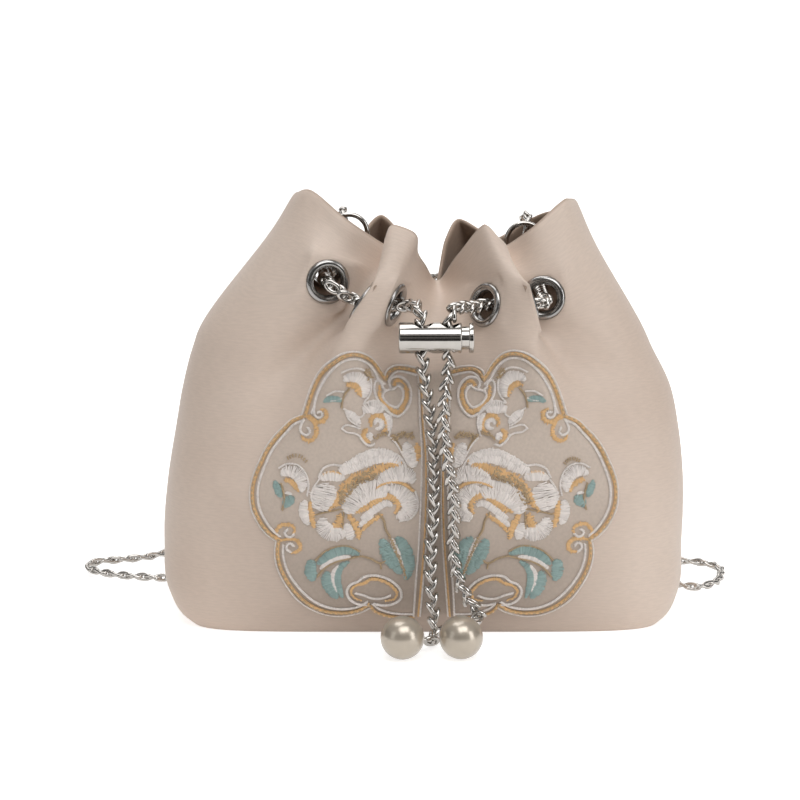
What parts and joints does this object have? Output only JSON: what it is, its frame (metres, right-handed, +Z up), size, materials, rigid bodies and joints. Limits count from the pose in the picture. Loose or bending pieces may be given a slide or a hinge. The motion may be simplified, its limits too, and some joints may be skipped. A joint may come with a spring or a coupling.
{
  "type": "drawstring bucket bag",
  "caption": "Small cloth drawstring bag with a gathered neck, metal eyelets, a chain drawstring with a spring cord lock and pearl ends, and a chain shoulder strap.",
  "frame": {"origin": "middle of the flat base, on the surface that the bag stands on", "axes": "+Z up through the neck, -Y towards the front with the cord lock, +X to the right as seen from the front"},
  "size_m": [0.2806, 0.1892, 0.1717],
  "materials": {
    "satin": "soft satin",
    "chrome": "polished",
    "pearl": "pearl lustre",
    "tab_cloth": "plain weave"
  },
  "bodies": {
    "bag": {"bag_body": "satin", "drawstring": "chrome", "shoulder_strap": "chrome", "lock_barrel": "chrome", "pearl_left": "pearl", "pearl_right": "pearl", "ring_left": "chrome", "ring_right": "chrome", "ring_tab_left": "tab_cloth", "ring_tab_right": "tab_cloth", "eyelet_01": "chrome", "eyelet_02": "chrome", "eyelet_03": "chrome", "eyelet_04": "chrome", "eyelet_05": "chrome", "eyelet_06": "chrome", "eyelet_07": "chrome", "eyelet_08": "chrome", "eyelet_09": "chrome", "eyelet_10": "chrome", "eyelet_11": "chrome", "eyelet_12": "chrome", "pearl_left_eye": "chrome", "pearl_right_eye": "chrome", "pearl_left_jump_ring": "chrome", "pearl_right_jump_ring": "chrome", "strap_end_link_left": "chrome", "strap_end_link_right": "chrome"},
    "plunger": {"lock_plunger": "chrome"}
  },
  "joints": [
    {"name": "plunger_slide", "type": "slide", "parent": "bag", "child": "plunger", "axis": [-1, 0, 0], "range_m": [0, 0.0015], "stiffness_N_per_m": 300, "springref_m": -0.004}
  ]
}
